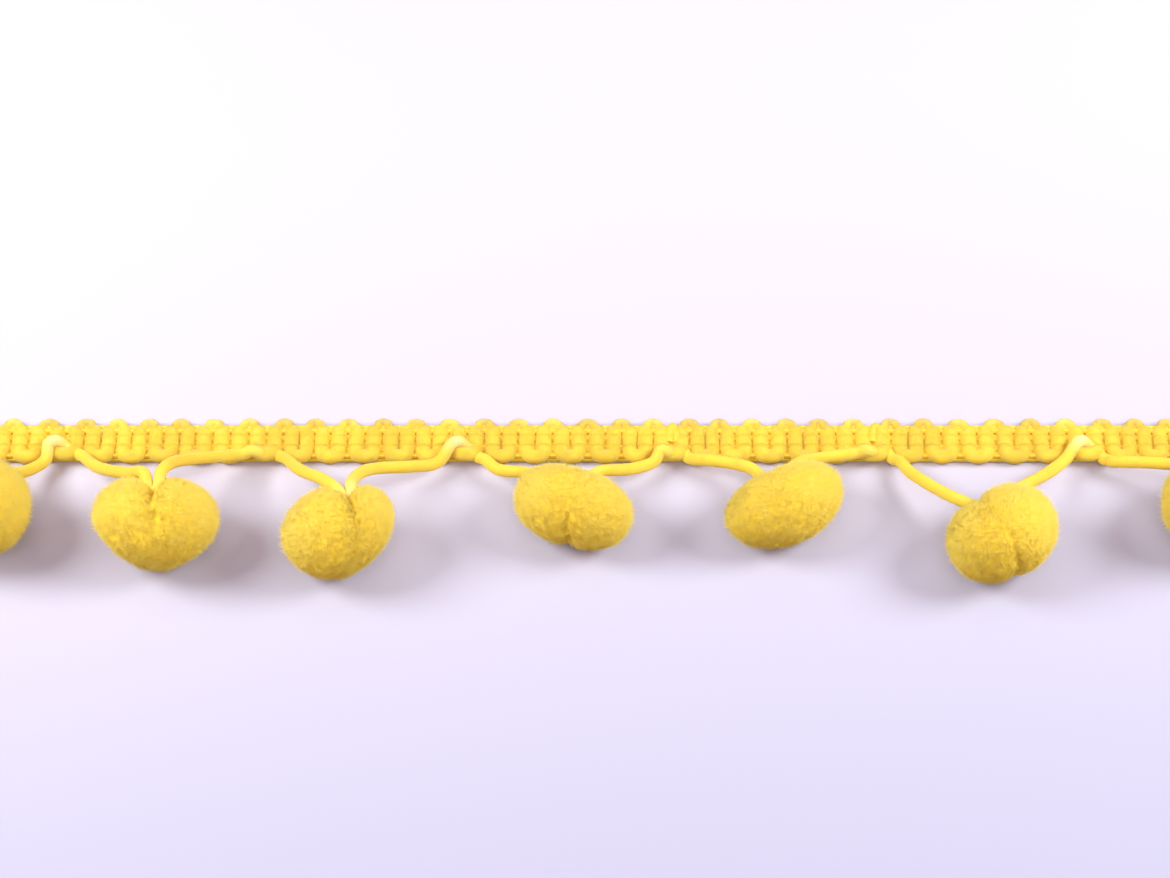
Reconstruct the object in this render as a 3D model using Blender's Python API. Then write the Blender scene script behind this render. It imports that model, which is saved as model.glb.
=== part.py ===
"""A length of pompom fringe trim, lying face up.

A scalloped gimp heading carries one continuous cord. Between its ties the cord
drops away from the heading and holds a pompom by the waist. X runs along the
trim, +Y points from the pompoms to the far edge of the heading, and Z is up.
The origin is the middle of the heading's flat back. Sizes are in millimetres
and are turned into Blender's metres where a mesh is made.
"""
import math
from collections import namedtuple

import bmesh
import bpy
import numpy as np
from mathutils import Matrix, Vector

MM = 0.001
SMOOTH_BELOW = 60  # degrees between two faces that are shaded as one
GAP = 0.3  # left between two pieces that touch

# ---- Yarns and heading ----
CORD_DIAMETER = 1.5
CORD_SIDES_STEP = 2  # bevel resolution: 8 sides
CORD_LONGEST_STEP = 2.4
CORD_SHARPEST_STEP = 26  # degrees
FINE_STEPS = 24  # of a smooth curve, between two of its points

WEFT_DIAMETER = 1.82
WEFT_FLATNESS = 0.87  # the weft is pressed to this share of its width
WEFT_LIFT = 0.03  # the round underside of the weft clears the flat back
HEADING_WIDTH = 6.0
LOOPS_PER_REPEAT = 6
FIRST_LOOP = 2.0  # from a tie to the next loop of the upper edge
LAST_LOOP = 2.85  # from the last loop of the upper edge to its tie
PINCHES = (-0.8, 0.95)  # where the warp chains press the weft
PINCHED = 0.9  # the weft's width there, as a share
LOOP_SHOULDER = 0.78  # how far out the corner of a loop lies, as a share of its half width
LOOP_ROUNDING = 0.4  # how far that corner lies short of the loop's tip

GROUND_WIDTH = 1.5  # the flat warp tape that the weft is fused to
GROUND_THICKNESS = 0.6
GROUND_SHORT = 0.1  # how far the tape ends inside the last loops

# ---- Where the cord is tied down on the heading, measured from the tie ----
TIE_Z = 1.78
TIE_RADIUS = 1.45
TIE_MIDDLE = -1.15
TIE_FALL = (1.85, -2.5)

# ---- Pompom build ----
TUFTS_ROUND = 7
TUFT_COLUMNS = (0.0, 0.22, 0.78)  # places across one tuft; the first is the groove
TUFT_BANDS = 6  # three on each side of the waist
TUFT_ROWS = (0.0, 0.2, 0.8)
TUFT_GROOVE = 0.1  # depth between tufts, as a share of the radius
TUFT_UNEVEN = 0.02
WAIST_HALF_WIDTH = 0.17
WAIST_LEAST = 0.05  # how deep the waist is all round, as a share of the radius
REST_SINK = 0.35  # how far the soft underside is pressed flat
SEED = 7
SEAT_SPREAD = 0.7  # half the width of the cord's turn in the waist

# One row for each repeat: its length along the heading, and the pompom that hangs
# there. x and y place the pompom's middle, long is its size across both lobes,
# girth the size round the waist, turn the swing of its long axis on the table,
# tip how far above level the cord enters, top_crease and far_crease the depth of
# the waist where the cord enters and opposite, taper how much the far side narrows,
# skew how much larger the left lobe is, and seat how far from the middle the cord
# turns, as a share of the radius.
Repeat = namedtuple(
    "Repeat",
    "length x y long girth turn tip top_crease far_crease taper skew seat left right",
)
# left and right are the cord's own points between the heading and the pompom.
REPEATS = (
    Repeat(25.3, -73.6, -12.4, 14.2, 12.6, 4, 12, 0.22, 0.10, 0.12, 0.00, 0.80,
           ((-83.8, -4.5, 3.2), (-78.2, -6.9, 5.6)),
           ((-69.6, -6.6, 4.2), (-67.5, -4.7, 2.2), (-66.2, -3.2, 1.8))),
    Repeat(25.2, -51.0, -14.6, 15.0, 12.7, 1, 34, 0.30, 0.12, 0.26, 0.03, 0.84,
           ((-59.2, -5.6, 4.0), (-55.2, -7.9, 6.7)),
           ((-48.4, -7.2, 8.2), (-45.2, -4.3, 4.2), (-41.6, -2.4, 1.8))),
    Repeat(24.9, -28.9, -15.7, 14.0, 11.8, -12, 34, 0.32, 0.14, 0.22, 0.10, 0.84,
           ((-34.3, -6.0, 4.1), (-30.9, -9.1, 7.2)),
           ((-25.4, -8.6, 7.2), (-21.4, -5.8, 4.2), (-17.5, -3.7, 1.9))),
    Repeat(26.0, -0.8, -11.5, 14.3, 10.3, -17, 2, 0.16, 0.20, 0.08, -0.04, 0.80,
           ((-10.2, -4.9, 2.3), (-6.7, -6.0, 3.4)),
           ((4.4, -6.1, 3.9), (6.9, -5.0, 2.7), (9.3, -3.5, 1.8))),
    Repeat(25.4, 25.0, -11.3, 14.9, 10.4, 25, 2, 0.14, 0.08, 0.04, -0.02, 0.80,
           ((16.2, -3.9, 2.6), (20.1, -6.2, 4.2)),
           ((27.2, -4.8, 3.8), (30.4, -3.4, 2.6), (34.6, -2.3, 1.8))),
    Repeat(26.25, 51.0, -15.9, 13.7, 12.7, 18, 4, 0.20, 0.20, 0.06, -0.06, 0.80,
           ((40.8, -5.4, 2.5), (44.1, -8.8, 4.4)),
           ((55.2, -7.9, 4.3), (58.3, -5.3, 2.7), (60.5, -3.0, 1.8))),
    Repeat(25.55, 77.7, -11.9, 14.0, 12.0, -8, 10, 0.18, 0.12, 0.10, 0.00, 0.80,
           ((66.0, -3.7, 2.1), (70.9, -5.0, 4.0)),
           ((82.1, -6.2, 4.8), (84.6, -4.7, 2.8), (86.5, -2.9, 1.8))),
)

MATERIALS = {
    # name: (base colour, roughness)
    "heading_yarn": ((0.93, 0.66, 0.035, 1.0), 0.72),
    "cord_yarn": ((0.94, 0.70, 0.045, 1.0), 0.62),
    "pompom_pile": ((0.93, 0.62, 0.025, 1.0), 0.95),
}


def tie_places():
    """X of each tie of the cord, with the trim centred on the origin."""
    lengths = [row.length for row in REPEATS]
    start = -sum(lengths) / 2
    return [start + sum(lengths[:k]) for k in range(len(lengths) + 1)]


# ---- Making objects ----


def collection(name):
    made = bpy.data.collections.new(name)
    bpy.context.scene.collection.children.link(made)
    return made


def material(name):
    made = bpy.data.materials.new(name)
    made.use_nodes = True
    colour, roughness = MATERIALS[name]
    shader = made.node_tree.nodes["Principled BSDF"]
    shader.inputs["Base Color"].default_value = colour
    shader.inputs["Roughness"].default_value = roughness
    shader.inputs["Metallic"].default_value = 0.0
    return made


def mesh_object(name, mesh, group):
    made = bpy.data.objects.new(name, mesh)
    group.objects.link(made)
    return made


def make_guide(tool):
    """Marks an object as a cutter or a guide, which is not part of the trim."""
    tool.hide_render = True
    tool.display_type = "WIRE"


def boolean(piece, tool, operation):
    modifier = piece.modifiers.new(operation.lower(), "BOOLEAN")
    modifier.operation = operation
    modifier.solver = "EXACT"
    modifier.object = tool


def smooth_line(points):
    """Points on a smooth curve through the given ones, closest where it turns."""
    knots = [Vector(p) for p in points]
    knots = [2 * knots[0] - knots[1]] + knots + [2 * knots[-1] - knots[-2]]
    fine = []
    for a, b, c, d in zip(knots, knots[1:], knots[2:], knots[3:]):
        span = (c - b).length
        before = math.sqrt(span / (b - a).length)
        after = math.sqrt(span / (d - c).length)
        # slopes that keep a smooth curve from looping between uneven points
        leave = (c - b) + ((b - a) * before - (c - a) / (1 + 1 / before))
        reach = (c - b) + ((d - c) * after - (d - b) / (1 + 1 / after))
        for k in range(FINE_STEPS):
            fine.append(hermite(b, c, leave, reach, k / FINE_STEPS))
    fine.append(knots[-2])
    return thinned(fine)


def hermite(start, end, leave, reach, t):
    """A point of the cubic from start to end with the given slopes."""
    return (
        start * (2 * t**3 - 3 * t**2 + 1)
        + leave * (t**3 - 2 * t**2 + t)
        + end * (3 * t**2 - 2 * t**3)
        + reach * (t**3 - t**2)
    )


def thinned(fine):
    """Drops points of a line where it runs straight."""
    kept = [fine[0]]
    aim = fine[1] - fine[0]
    for here, following in zip(fine[1:], fine[2:]):
        turned = math.degrees((following - here).angle(aim))
        if turned > CORD_SHARPEST_STEP or (here - kept[-1]).length > CORD_LONGEST_STEP:
            kept.append(here)
            aim = following - here
    return [tuple(p) for p in kept + [fine[-1]]]


def tube(name, points, diameter, resolution, group, widths=None):
    """A yarn along the points, as a welded mesh object with closed ends."""
    curve = bpy.data.curves.new(name, "CURVE")
    curve.dimensions = "3D"
    curve.bevel_depth = diameter / 2 * MM
    curve.bevel_resolution = resolution
    curve.use_fill_caps = True
    spline = curve.splines.new("POLY")
    spline.points.add(len(points) - 1)
    for k, (x, y, z) in enumerate(points):
        spline.points[k].co = (x * MM, y * MM, z * MM, 1.0)
        spline.points[k].radius = widths[k] if widths else 1.0
    holder = bpy.data.objects.new(name + "_curve", curve)
    group.objects.link(holder)
    evaluated = holder.evaluated_get(bpy.context.evaluated_depsgraph_get())
    mesh = bpy.data.meshes.new_from_object(evaluated)
    mesh.name = name
    mesh.materials.clear()
    weld = bmesh.new()
    weld.from_mesh(mesh)
    bmesh.ops.remove_doubles(weld, verts=weld.verts, dist=1e-6)
    bmesh.ops.recalc_face_normals(weld, faces=weld.faces)
    weld.to_mesh(mesh)
    weld.free()
    made = mesh_object(name, mesh, group)
    made.matrix_world = holder.matrix_world
    bpy.data.objects.remove(holder)
    bpy.data.curves.remove(curve)
    return made


def round_off(mesh):
    mesh.shade_smooth()
    mesh.set_sharp_from_angle(angle=math.radians(SMOOTH_BELOW))


# ---- Heading ----


def upper_loops(ties):
    """X and half width of every loop along the upper edge, in order."""
    loops = []
    for tie, row in zip(ties, REPEATS):
        spacing = (row.length - FIRST_LOOP - LAST_LOOP) / (LOOPS_PER_REPEAT - 1)
        loops += [(tie + FIRST_LOOP + i * spacing, spacing / 4) for i in range(LOOPS_PER_REPEAT)]
    # one more loop past the first and the last tie, where the trim is cut
    loops.insert(0, (ties[0] - LAST_LOOP, loops[0][1]))
    loops.append((ties[-1] + FIRST_LOOP, loops[-1][1]))
    return loops


def weft_route(loops):
    """The weft's way up and down across the heading, with its width at each point."""
    edge = (HEADING_WIDTH - WEFT_DIAMETER) / 2
    straight = edge - LOOP_ROUNDING
    route = []

    def leg(x, upward):
        for y in PINCHES if upward else reversed(PINCHES):
            route.append((x, y, 0.0, PINCHED))

    def turn(left, right, side):
        centre = (left + right) / 2
        reach = (right - left) / 2 * LOOP_SHOULDER
        route.append((centre - reach, side * straight, 0.0, 1.0))
        route.append((centre, side * edge, 0.0, 1.0))
        route.append((centre + reach, side * straight, 0.0, 1.0))

    route.append((loops[0][0] - loops[0][1], -straight, 0.0, 1.0))
    for k, (x, half) in enumerate(loops):
        leg(x - half, True)
        turn(x - half, x + half, 1)
        leg(x + half, False)
        if k + 1 < len(loops):
            turn(x + half, loops[k + 1][0] - loops[k + 1][1], -1)
    route.append((loops[-1][0] + loops[-1][1], -straight, 0.0, 1.0))
    return route


def make_heading(ties, parts, cutters, clearance):
    """The gimp: one weft yarn looping from edge to edge, fused to a flat warp tape."""
    route = weft_route(upper_loops(ties))
    weft = tube(
        "heading", [p[:3] for p in route], WEFT_DIAMETER, 1, parts, [p[3] for p in route]
    )
    rise = WEFT_DIAMETER / 2 * WEFT_FLATNESS + WEFT_LIFT
    weft.data.transform(
        Matrix.Translation((0, 0, rise * MM)) @ Matrix.Diagonal((1, 1, WEFT_FLATNESS, 1))
    )

    start = route[0][0] - WEFT_DIAMETER / 2 + GROUND_SHORT
    end = route[-1][0] + WEFT_DIAMETER / 2 - GROUND_SHORT
    middle = ((start + end) / 2 * MM, sum(PINCHES) / 2 * MM, GROUND_THICKNESS / 2 * MM)
    size = ((end - start) * MM, GROUND_WIDTH * MM, GROUND_THICKNESS * MM, 1)
    bpy.ops.mesh.primitive_cube_add(size=1)
    ground = bpy.context.object
    ground.name = "heading_ground"
    ground.data.transform(Matrix.Translation(middle) @ Matrix.Diagonal(size))
    for owner in list(ground.users_collection):
        owner.objects.unlink(ground)
    cutters.objects.link(ground)
    make_guide(ground)

    boolean(weft, ground, "UNION")
    boolean(weft, clearance, "DIFFERENCE")
    weft.data.materials.append(material("heading_yarn"))
    round_off(weft.data)


# ---- Pompoms ----


def pompom_axes(row):
    """Unit directions of a pompom: along both lobes, towards the cord, and across."""
    swing = Matrix.Rotation(math.radians(row.turn), 3, "Z")
    along = swing @ Vector((1, 0, 0))
    away = swing @ Vector((0, 1, 0))
    tip = math.radians(row.tip)
    entry = (away * math.cos(tip) + Vector((0, 0, math.sin(tip)))).normalized()
    return along, entry, along.cross(entry).normalized()


def pompom_middle(row):
    return Vector((row.x, row.y, row.girth / 2 - REST_SINK))


def cord_seat(row):
    """The two ends of the cord's turn in the waist of a pompom."""
    _, entry, _ = pompom_axes(row)
    lowest = pompom_middle(row) + entry * (row.seat * row.girth / 2)
    side = Vector((SEAT_SPREAD, 0, 0))
    return [tuple(lowest - side), tuple(lowest + side)]


def tuft_place(row_index, column_index):
    """Angle from the pole, angle round it, and whether the point lies in a groove."""
    band, step = divmod(row_index, len(TUFT_ROWS))
    slope = math.pi * (band + TUFT_ROWS[step]) / TUFT_BANDS
    columns = len(TUFT_COLUMNS)
    if step == 0:
        around = column_index / columns
        groove = True
    else:
        shift = columns // 2 * (band % 2)  # every second band is laid like bricks
        tuft, place = divmod(column_index + shift, columns)
        around = tuft + TUFT_COLUMNS[place] - shift / columns
        groove = place == 0
    return slope, 2 * math.pi * around / TUFTS_ROUND, groove


def pompom_point(row, slope, around, sunk, uneven):
    """A point of a pompom's surface from its middle, as shares along, entry, across."""
    along = math.cos(slope)
    ring = math.sin(slope)
    near = (1 + math.cos(around)) / 2  # 1 where the cord enters, 0 opposite
    crease = row.top_crease * near**2 + row.far_crease * (1 - near) ** 2 + WAIST_LEAST
    radius = 1.0 + uneven - crease * math.exp(-((along / WAIST_HALF_WIDTH) ** 2))
    if sunk:
        radius -= TUFT_GROOVE
    narrowed = 1 - row.taper * (1 - near) * ring
    lobe = 1 - row.skew * (1 if along > 0 else -1)
    return (
        along * radius * narrowed * lobe,
        ring * math.cos(around) * radius,
        ring * math.sin(around) * radius,
    )


def make_pompom(number, row, parts, clearance, look, random):
    """Two lobes of cut pile, drawn in at the waist, with blunt tufts on the core."""
    columns = TUFTS_ROUND * len(TUFT_COLUMNS)
    rows = TUFT_BANDS * len(TUFT_ROWS)
    form = bmesh.new()
    bmesh.ops.create_uvsphere(form, u_segments=columns, v_segments=rows, radius=1.0)
    along, entry, across = pompom_axes(row)
    middle = pompom_middle(row)
    bumps = random.uniform(-TUFT_UNEVEN, TUFT_UNEVEN, (rows + 1, columns + 1))
    for point in form.verts:
        row_index = round(math.acos(max(-1.0, min(1.0, point.co.z))) / math.pi * rows)
        angle = math.atan2(point.co.y, point.co.x) % (2 * math.pi)
        column_index = round(angle / (2 * math.pi) * columns) % columns
        slope, around, sunk = tuft_place(row_index, column_index)
        shares = pompom_point(row, slope, around, sunk, bumps[row_index, column_index])
        place = (
            middle
            + along * (shares[0] * row.long / 2)
            + entry * (shares[1] * row.girth / 2)
            + across * (shares[2] * row.girth / 2)
        )
        place.z = max(place.z, 0.0)
        point.co = place * MM
    bmesh.ops.recalc_face_normals(form, faces=form.faces)
    mesh = bpy.data.meshes.new(f"pompom_{number}")
    form.to_mesh(mesh)
    form.free()
    mesh.materials.append(look)
    boolean(mesh_object(mesh.name, mesh, parts), clearance, "DIFFERENCE")
    round_off(mesh)


# ---- Cord ----


def cord_tie(tie):
    """The cord's turn over the front of the heading, at one tie."""
    points = []
    for degrees in (180, 135, 90, 45, 0):
        swing = math.radians(degrees)
        x = tie + TIE_RADIUS * math.cos(swing)
        points.append((x, TIE_MIDDLE + TIE_RADIUS * math.sin(swing), TIE_Z))
    return points


def cord_route(ties):
    """The cord from its first tie to its last, through every pompom's waist."""
    route = cord_tie(ties[0])[2:]
    for k, row in enumerate(REPEATS):
        route.append((ties[k] + TIE_FALL[0], TIE_FALL[1], TIE_Z))
        route += [*row.left, *cord_seat(row), *row.right]
        turn = cord_tie(ties[k + 1])
        route += turn if k + 1 < len(REPEATS) else turn[:3]
    return route


def main():
    for old in list(bpy.data.objects):
        bpy.data.objects.remove(old)
    parts = collection("pompom_fringe")
    cutters = collection("cutters")
    ties = tie_places()

    line = smooth_line(cord_route(ties))
    cord = tube("carrier_cord", line, CORD_DIAMETER, CORD_SIDES_STEP, parts)
    cord.data.materials.append(material("cord_yarn"))
    round_off(cord.data)
    clearance = tube(
        "cord_clearance", line, CORD_DIAMETER + 2 * GAP, CORD_SIDES_STEP, cutters
    )
    make_guide(clearance)

    make_heading(ties, parts, cutters, clearance)

    pile = material("pompom_pile")
    random = np.random.default_rng(SEED)
    for number, row in enumerate(REPEATS, 1):
        make_pompom(number, row, parts, clearance, pile, random)


main()
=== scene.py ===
"""A length of pompom fringe trim, finished for the camera.

The gimp heading is one thick weft yarn looping from edge to edge, held by thin
warp chains. One carrier cord is caught under the weft at every tie and holds a
cut-pile pompom by the waist in each repeat. X runs along the trim, +Y points
from the pompoms to the far edge of the heading, and Z is up from the table.
"""

import math
from collections import namedtuple

import bpy
import numpy as np
from mathutils import Matrix, Vector, kdtree, noise


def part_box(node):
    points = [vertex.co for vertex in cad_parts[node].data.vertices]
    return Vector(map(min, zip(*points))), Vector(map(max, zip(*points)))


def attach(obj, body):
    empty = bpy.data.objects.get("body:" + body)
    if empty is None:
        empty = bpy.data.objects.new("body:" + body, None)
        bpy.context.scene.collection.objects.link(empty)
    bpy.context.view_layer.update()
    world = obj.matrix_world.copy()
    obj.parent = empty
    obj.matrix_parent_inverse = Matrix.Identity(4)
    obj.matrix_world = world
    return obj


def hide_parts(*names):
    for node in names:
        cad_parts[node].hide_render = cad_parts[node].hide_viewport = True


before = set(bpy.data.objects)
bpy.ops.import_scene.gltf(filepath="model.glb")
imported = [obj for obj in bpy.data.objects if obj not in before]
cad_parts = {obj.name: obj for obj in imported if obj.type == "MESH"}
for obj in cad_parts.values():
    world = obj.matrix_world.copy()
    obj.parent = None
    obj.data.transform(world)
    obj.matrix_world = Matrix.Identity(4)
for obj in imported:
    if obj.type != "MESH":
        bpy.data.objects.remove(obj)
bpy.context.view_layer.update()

bl_info = {
    "name": "Pompom fringe trim",
    "version": (1, 0, 0),
    "blender": (4, 5, 0),
    "location": "3D View > Sidebar > Trim",
    "description": "Makes the yarns, the pile and the stage of a pompom fringe trim",
    "category": "Object",
}

MM = 0.001
SEED = 7
WANDER_SEED = 1795534835  # without one, Blender draws its noise directions by the clock

# ---- The trim's layout, in millimetres as the yarns are laid ----

# One row for each repeat: its length along the heading, how strong the painted highlight on
# the cord is where the pompom hangs, and the cord's own points from the tie before it to the
# pompom and from the pompom to the tie after it.
Repeat = namedtuple("Repeat", "length drawn left right")
REPEATS = (
    Repeat(25.3, 0.12, ((-83.8, -4.5, 3.2), (-78.2, -6.9, 5.6)),
           ((-69.6, -6.6, 4.2), (-67.5, -4.7, 2.2), (-66.2, -3.2, 1.8))),
    Repeat(25.2, 0.15, ((-59.2, -5.6, 4.0), (-54.9, -8.2, 7.2), (-52.6, -9.2, 8.9)),
           ((-50.5, -9.0, 9.0), (-49.5, -7.0, 7.6), (-47.7, -5.3, 5.5), (-44.4, -3.7, 3.4),
            (-41.6, -2.4, 1.8))),
    Repeat(24.9, 0.6, ((-34.3, -6.2, 4.4), (-31.4, -8.8, 6.9), (-29.2, -11.3, 8.8)),
           ((-27.5, -10.6, 8.9), (-26.4, -8.2, 7.4), (-24.4, -6.5, 5.4), (-20.9, -5.3, 3.6),
            (-17.5, -3.7, 1.9))),
    Repeat(26.0, 0.12, ((-10.2, -4.9, 2.3), (-6.7, -6.0, 3.4)),
           ((2.5, -6.5, 4.6), (4.6, -5.9, 3.8), (6.9, -5.0, 2.7), (9.3, -3.5, 1.8))),
    Repeat(25.4, 0.12, ((16.0, -3.7, 2.4), (19.2, -4.7, 3.2), (21.2, -5.8, 4.0)),
           ((27.2, -4.8, 3.8), (30.4, -3.4, 2.6), (34.6, -2.3, 1.8))),
    Repeat(26.25, 0.12, ((40.8, -5.4, 2.5), (44.0, -9.0, 4.3), (46.7, -11.4, 5.7)),
           ((55.2, -7.9, 4.3), (58.3, -5.3, 2.7), (60.5, -3.0, 1.8))),
    Repeat(25.55, 0.12, ((66.0, -3.7, 2.1), (70.9, -5.0, 4.0)),
           ((82.1, -6.2, 4.8), (84.6, -4.7, 2.8), (86.5, -2.9, 1.8))),
)

# One row for each pompom. x and y place its middle, long is its size across both lobes,
# girth the size round the waist, turn the swing of its long axis on the table, tip how
# far above level the cord enters, top_crease and far_crease the depth of the waist where
# the cord enters and opposite, taper how much the far side narrows, skew how much larger
# the left lobe is, shear how far the right lobe lies towards the cord, and seat how far
# from the middle the cord turns, as a share of the radius. mid_drift and far_drift are how
# far to the right the crease wanders on the side that faces up, half way and at its end.
Pompom = namedtuple(
    "Pompom",
    "x y long girth turn tip top_crease far_crease taper skew shear seat mid_drift far_drift",
)
POMPOMS = (
    Pompom(-73.6, -12.4, 14.2, 12.6, 4, 12, 0.22, 0.10, 0.12, 0.00, 0.00, 0.80, 0.10, 0.10),
    Pompom(-51.35, -14.1, 15.45, 11.8, 1, 45, 0.34, 0.00, 0.32, -0.02, -0.05, 0.68, 0.10, 0.60),
    Pompom(-27.75, -15.2, 13.75, 12.4, 1, 42, 0.34, 0.02, 0.22, 0.21, 0.17, 0.61, 0.38, -0.40),
    Pompom(-1.0, -11.5, 14.75, 10.0, -20, 2, 0.03, 0.18, 0.045, -0.03, 0.00, 0.80, -0.05, 0.20),
    Pompom(25.0, -11.35, 15.4, 9.8, 25, 2, 0.05, 0.02, 0.19, -0.02, 0.00, 0.80, 0.05, 0.10),
    Pompom(50.75, -15.85, 13.9, 11.5, 31, 4, 0.20, 0.16, 0.05, -0.06, 0.00, 0.80, -0.10, -0.15),
    Pompom(77.7, -11.9, 14.0, 12.0, -8, 10, 0.18, 0.12, 0.10, 0.00, 0.00, 0.80, 0.10, 0.10),
)

# One row for each repeat: how far each loop of the upper edge lies from its tie.
LOOPS = (
    (2.00, 6.10, 10.20, 14.25, 18.30, 22.85),
    (2.30, 6.15, 10.10, 14.05, 18.20, 22.65),
    (1.93, 5.63, 9.83, 14.25, 18.30, 22.50),
    (2.05, 6.25, 10.55, 14.96, 19.25, 22.98),
    (1.75, 5.36, 9.43, 13.85, 17.80, 22.10),
    (1.56, 5.50, 9.94, 14.43, 19.00, 23.30),
    (1.81, 5.78, 9.81, 13.90, 18.00, 22.40),
)

# One row for each tie: how far up the heading the cord from the left slips under the
# weft, where it comes out again, and whether the weft has a small extra loop there.
Tie = namedtuple("Tie", "rise leave extra")
TIES = (
    Tie(-0.70, -2.15, False),
    Tie(-0.70, -2.10, False),
    Tie(-2.30, -2.40, False),
    Tie(-0.80, -2.65, False),
    Tie(-2.25, -2.65, True),
    Tie(-2.25, -2.80, True),
    Tie(-0.70, -2.80, False),
    Tie(-0.80, -2.30, False),
)

# ---- How the yarns are laid ----

FINE_STEPS = 24  # of a smooth curve, between two of its points
LONGEST_STEP = 0.55
SHARPEST_STEP = 11  # degrees
SMOOTH_BELOW = 60  # degrees between two faces that are shaded as one
FLOOR_CLEAR = 0.03  # nothing soft lies lower than this
WOBBLE = 0.9  # how closely a yarn's thick and thin places follow each other
FULL_RELIEF = 1.5  # a yarn this thick shows its strands in full
# how finely each yarn is rounded, as a curve's bevel resolution
WEFT_ROUNDNESS = 6
EXTRA_ROUNDNESS = 4
CORD_ROUNDNESS = 7
THIN_ROUNDNESS = 1

WEFT_FLATNESS = 0.87  # the weft is pressed to this share of its width
WEFT_UNEVEN = 0.05
PINCHES = (-0.9, 0.5)  # where the warp chains press the weft
PINCHED = 0.94  # the weft's width there, as a share
PRESSED = 0.2  # how much lower the weft lies under a chain, as a share
PRESS_WIDTH = 0.34
GROOVE_DEPTHS = (0.85, 0.6)  # how far the crease under each chain is pressed in, and how dark its painted shade is
GROOVE_WIDTH = 0.22
SLIT = 0.03  # between two legs of the weft
LEG_LEAST = 0.84  # the thinnest and the fullest leg, as shares of the weft's diameter
LEG_MOST = 1.14
LEG_TOP = 1.3  # where a leg begins to turn into its upper loop
# An upper loop's way in from its leg to its crown. out is a share of the loop's half
# width, up the place up the heading, and thin the weft's width, which is drawn in there.
Turn = namedtuple("Turn", "out up thin")
UPPER_TURNS = (Turn(0.64, 1.84, 0.7), Turn(0.52, 2.28, 0.68))
CROWN = 0.66  # the weft's width at the crown
CROWN_REACH = 0.16  # how far the fluffed upper loops stand past the heading's edge
TURN_LIFT = 0.2  # how far the weft rises for the width that it loses in a turn
CROWN_LIFT = 0.08
LOOP_SHOULDER = 0.84  # how far out the corner of a lower loop lies, as a share
LOOP_ROUNDING = 0.32  # how far that corner lies short of the loop's tip
LOOP_DROP = 0.24  # how far the lower loops have slipped past the heading's edge
LOOP_UNEVEN = 0.06
LOOP_SHORT = 0.09  # how far a loop may stop short of the others
TIE_LIFT = 0.62  # the weft rises over the cord at a tie
TIE_SHOULDER = 0.8  # and this share of it at the corners of that loop
TIE_REACH = 1.0  # a lower loop this near to a tie goes over the cord
END_LOOPS = (2.85, 2.0)  # one more loop past the first and the last tie
# the small loop of weft that stands between two others at some ties: its points, from
# the tie, its rise over the weft and its width as a share of the weft's
EXTRA_LOOP = ((-0.95, -0.4), (-0.72, 1.35), (-0.42, 1.9), (-0.12, 1.35), (0.1, -0.4))
EXTRA_RISE = 0.1
EXTRA_WIDTH = 0.62

HAZE_FROM = 2.2  # the upper loops are worn fluffy from this height up the heading
HAZE = 4.0  # how much closer the loose hairs stand there
# painted highlight on the loose hairs and the upper loops, for the bright haze of light round their
# fluff
HAZE_HIGHLIGHT = 0.3
HAZE_FADE = 0.4  # the painted highlight on the weft fades in over this distance below it

HAIR_LEAN = 1.1  # how far a loose hair may lie over
HAIR_REACH = (0.2, 0.75)
HAIR_RADIUS = (0.01, 0.02)
HAIR_ROOT = 0.05  # how deep in the yarn a hair begins

WARP_PAST = 1.5  # how far the warp runs past the last loop
GROUND_SHORT = 0.3  # and how much shorter the yarns behind the weft are
CHAIN_DIAMETER = 0.24
CHAIN_SWAY = 0.04
# height of a chain where it dips between two legs of the weft, where it crosses a leg,
# and to each side of that crossing
CHAIN_DEEP = 0.8
CHAIN_OVER = 1.31
CHAIN_BESIDE = (0.55, 1.18)
GROUND_ROWS = (-1.8, -1.3, -0.8, -0.3, 0.2, 0.7, 1.2, 1.6)  # warp yarns that lie behind the weft
GROUND_DIAMETER = 0.7
GROUND_HEIGHT = 0.62
# The warp yarns that run along both edges: place, height, thickness and paleness, which is a painted
# highlight.
Edge = namedtuple("Edge", "y z diameter pale")
EDGES = (
    Edge(1.83, 0.86, 0.66, 0.1),
    Edge(1.27, 1.04, 0.66, 0.0),
    Edge(-2.15, 0.8, 0.56, 0.0),
    # this low yarn fills the gaps between the lower loops with the yarn's painted shade, standing for
    # the shadow there
    Edge(-2.46, 0.34, 0.58, 0.0),
)

CORD_UNEVEN = 0.05
SEAT_SPREAD = 0.45  # half the width of the cord's turn in the waist
TIE_EDGE = -2.2  # where the cord comes over the heading's lower edge
TIE_STEEP = 0.66  # how much of its rise it has made by then
# How strong the painted highlight on the cord is where it is drawn high over a tie and where
# it slips under low down, where that is, from the tie and from the seat in a waist, and how
# far it fades.
HIGHLIGHT_AT_HIGH_TIE = 0.75
HIGHLIGHT_AT_LOW_TIE = 0.12
LOW_RISE = -1.5
HIGHLIGHT_FROM_TIE = (-1.2, -0.2, 2.6)
HIGHLIGHT_FROM_SEAT = (0.0, 0.6, 0.5)
HIGHLIGHT_REACH = 1.5

# ---- How the yarns look ----

# The layers of strands that show on a yarn: how many lie round it, their twist as a share
# of the yarn's own, how far they wander and how high they stand.
Strands = namedtuple("Strands", "number twist wander height")
PLIES = Strands(3, 1.0, 3.0, 0.2)
FILAMENTS = Strands(17, 1.0, 12.0, 0.22)
CROSSINGS = Strands(29, -0.6, 18.0, 0.16)
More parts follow.
